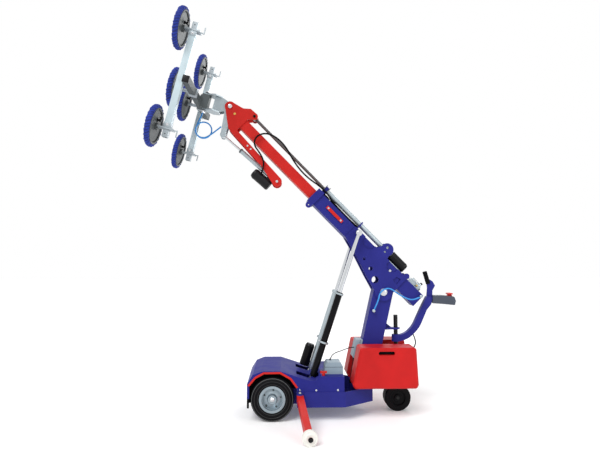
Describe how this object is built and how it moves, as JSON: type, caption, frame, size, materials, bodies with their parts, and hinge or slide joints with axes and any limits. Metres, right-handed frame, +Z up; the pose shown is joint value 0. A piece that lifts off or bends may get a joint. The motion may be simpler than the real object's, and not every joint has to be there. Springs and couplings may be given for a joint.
{
  "type": "glass panel lifter",
  "caption": "Walk-behind glazing robot: wheeled chassis with a tiller-steered drive wheel, telescopic lifting boom and a tilting, panning, rotating vacuum head with slide-out suction cups.",
  "frame": {"origin": "middle of the bounding box in plan, on the floor", "axes": "+X forward to the suction head, +Y to the left of the machine, +Z up"},
  "size_m": [2.8997, 1.8464, 3.7137],
  "materials": {
    "blue_paint": "semi-gloss powder coat",
    "red_paint": "semi-gloss powder coat",
    "cast_ballast": "as cast",
    "bright_steel": "ground and plated",
    "galvanised": "zinc plated",
    "silver_rim": "silver paint",
    "tyre": "moulded rubber",
    "grey_tyre": "moulded solid tyre",
    "red_case": "moulded red",
    "grey_case": "moulded light grey",
    "red_plastic": "moulded red",
    "tiller_steel": "semi-gloss powder coat",
    "black_plastic": "moulded black",
    "black_rubber": "smooth black",
    "nylon": "turned white nylon",
    "blue_hose": "smooth light blue",
    "cup_metal": "machined",
    "cover_fabric": "pleated woven cover"
  },
  "bodies": {
    "chassis": {"chassis_tray": "blue_paint", "ballast_slab": "cast_ballast", "body_cover": "blue_paint", "arch_trims": "red_paint", "pivot_pins": "bright_steel", "front_axle": "bright_steel", "column": "blue_paint", "battery_boxes": "red_case", "control_box": "grey_case", "charger_box": "grey_case", "charger_cable": "black_rubber", "column_hose": "blue_hose", "tiller_cable": "black_rubber"},
    "wheel_left": {"tyre_left": "tyre", "rim_left": "silver_rim"},
    "wheel_right": {"tyre_right": "tyre", "rim_right": "silver_rim"},
    "key": {"isolator_key": "red_plastic"},
    "steering": {"drive_fork": "bright_steel", "tiller_arm": "tiller_steel", "handle_grip": "black_rubber", "control_pod": "black_plastic"},
    "drive_wheel": {"drive_tyre": "grey_tyre", "drive_hub": "silver_rim"},
    "throttle": {"thumb_throttle": "red_plastic"},
    "boom": {"outer_boom": "blue_paint", "boom_side_plates": "blue_paint", "boom_collar": "blue_paint", "telescope_tube": "galvanised", "telescope_motor": "black_plastic", "vacuum_unit": "black_plastic", "boom_cable": "black_rubber"},
    "extension": {"inner_boom": "red_paint", "head_plates": "red_paint", "telescope_rod": "bright_steel", "head_pins": "bright_steel"},
    "lift_barrels": {"lift_tubes": "galvanised"},
    "lift_plungers": {"lift_rods": "bright_steel"},
    "tilt_barrel": {"tilt_tube": "galvanised", "tilt_motor": "black_plastic"},
    "tilt_plunger": {"tilt_rod": "bright_steel"},
    "yoke": {"tilt_yoke": "galvanised", "head_hose": "blue_hose"},
    "pan": {"pan_block": "galvanised"},
    "rotor": {"cross_tube": "galvanised", "cup_beams": "galvanised", "inner_cup_mounts": "cup_metal", "inner_cup_covers": "cover_fabric"},
    "carriage_upper_left": {"cup_arm_upper_left": "cup_metal", "cup_cover_upper_left": "cover_fabric"},
    "carriage_upper_right": {"cup_arm_upper_right": "cup_metal", "cup_cover_upper_right": "cover_fabric"},
    "carriage_lower_left": {"cup_arm_lower_left": "cup_metal", "cup_cover_lower_left": "cover_fabric"},
    "carriage_lower_right": {"cup_arm_lower_right": "cup_metal", "cup_cover_lower_right": "cover_fabric"},
    "outrigger_left": {"outrigger_leg_left": "red_paint"},
    "outrigger_right": {"outrigger_leg_right": "red_paint"},
    "foot_left": {"roller_left": "nylon"},
    "foot_right": {"roller_right": "nylon"}
  },
  "joints": [
    {"name": "boom_lift", "type": "hinge", "parent": "chassis", "child": "boom", "pos_m": [-0.728, 0, 1.132], "axis": [0, -1, 0], "range_deg": [-40, 15], "deforming": ["column_hose"]},
    {"name": "lift_swing", "type": "hinge", "parent": "chassis", "child": "lift_barrels", "pos_m": [-0.029, 0, 0.33], "axis": [0, -1, 0], "range_deg": [-12.34, 5.25]},
    {"name": "lift_stroke", "type": "slide", "parent": "lift_barrels", "child": "lift_plungers", "axis": [-0.3152, 0, 0.949], "range_m": [-0.3371, 0.1327]},
    {"name": "telescope", "type": "slide", "parent": "boom", "child": "extension", "axis": [0.7009, 0, 0.7133], "range_m": [-0.82, 0], "deforming": ["boom_cable"]},
    {"name": "head_tilt", "type": "hinge", "parent": "extension", "child": "yoke", "pos_m": [0.76868, 0, 2.95179], "axis": [0, -1, 0], "range_deg": [0, 50]},
    {"name": "tilt_swing", "type": "hinge", "parent": "extension", "child": "tilt_barrel", "pos_m": [0.30423, 0, 2.20666], "axis": [0, -1, 0], "range_deg": [-2.93, 1]},
    {"name": "tilt_stroke", "type": "slide", "parent": "tilt_barrel", "child": "tilt_plunger", "axis": [0.7504, 0, 0.6609], "range_m": [-0.01, 0.2491]},
    {"name": "head_pan", "type": "hinge", "parent": "yoke", "child": "pan", "pos_m": [1.01901, 0, 3.0142], "axis": [-0.2419, 0, 0.9703], "range_deg": [-40, 40]},
    {"name": "head_rotate", "type": "hinge", "parent": "pan", "child": "rotor", "pos_m": [1.05977, 0, 3.02436], "axis": [0.9703, 0, 0.2419], "continuous": true},
    {"name": "slide_upper_left", "type": "slide", "parent": "rotor", "child": "carriage_upper_left", "axis": [-0.2419, 0, 0.9703], "range_m": [0, 0.3]},
    {"name": "slide_upper_right", "type": "slide", "parent": "rotor", "child": "carriage_upper_right", "axis": [-0.2419, 0, 0.9703], "range_m": [0, 0.3]},
    {"name": "slide_lower_left", "type": "slide", "parent": "rotor", "child": "carriage_lower_left", "axis": [0.2419, 0, -0.9703], "range_m": [0, 0.3]},
    {"name": "slide_lower_right", "type": "slide", "parent": "rotor", "child": "carriage_lower_right", "axis": [0.2419, 0, -0.9703], "range_m": [0, 0.3]},
    {"name": "roll_left", "type": "hinge", "parent": "chassis", "child": "wheel_left", "pos_m": [0.335, 0.285, 0.195], "axis": [0, 1, 0], "continuous": true},
    {"name": "roll_right", "type": "hinge", "parent": "chassis", "child": "wheel_right", "pos_m": [0.335, -0.285, 0.195], "axis": [0, 1, 0], "continuous": true},
    {"name": "steer", "type": "hinge", "parent": "chassis", "child": "steering", "pos_m": [-0.86, 0, 0.4], "axis": [0, 0, 1], "range_deg": [-60, 60], "deforming": ["tiller_cable"]},
    {"name": "drive_roll", "type": "hinge", "parent": "steering", "child": "drive_wheel", "pos_m": [-0.86, 0, 0.125], "axis": [0, 1, 0], "continuous": true},
    {"name": "throttle_rock", "type": "hinge", "parent": "steering", "child": "throttle", "pos_m": [-1.39742, 0, 1.084], "axis": [0, 1, 0], "range_deg": [-25, 25], "stiffness_Nm_per_rad": 0.4},
    {"name": "key_turn", "type": "hinge", "parent": "chassis", "child": "key", "pos_m": [-0.13, 0.275, 0.42], "axis": [0, 0, 1], "range_deg": [0, 90]},
    {"name": "outrigger_swing_left", "type": "hinge", "parent": "chassis", "child": "outrigger_left", "pos_m": [0.088, 0.385, 0.222], "axis": [0, 0, 1], "range_deg": [0, 83]},
    {"name": "foot_roll_left", "type": "hinge", "parent": "outrigger_left", "child": "foot_left", "pos_m": [0.02682, 0.88326, 0.0625], "axis": [-0.1219, 0.9925, 0], "continuous": true},
    {"name": "outrigger_swing_right", "type": "hinge", "parent": "chassis", "child": "outrigger_right", "pos_m": [0.088, -0.385, 0.222], "axis": [0, 0, -1], "range_deg": [0, 83]},
    {"name": "foot_roll_right", "type": "hinge", "parent": "outrigger_right", "child": "foot_right", "pos_m": [0.02682, -0.88326, 0.0625], "axis": [-0.1219, -0.9925, 0], "continuous": true}
  ],
  "couplings": [
    {"joint": "lift_swing", "follows": "boom_lift", "ratio": 0.2835},
    {"joint": "lift_stroke", "follows": "boom_lift", "m_per_rad": 0.4685},
    {"joint": "tilt_swing", "follows": "head_tilt", "ratio": -0.0385},
    {"joint": "tilt_stroke", "follows": "head_tilt", "m_per_rad": 0.274}
  ]
}
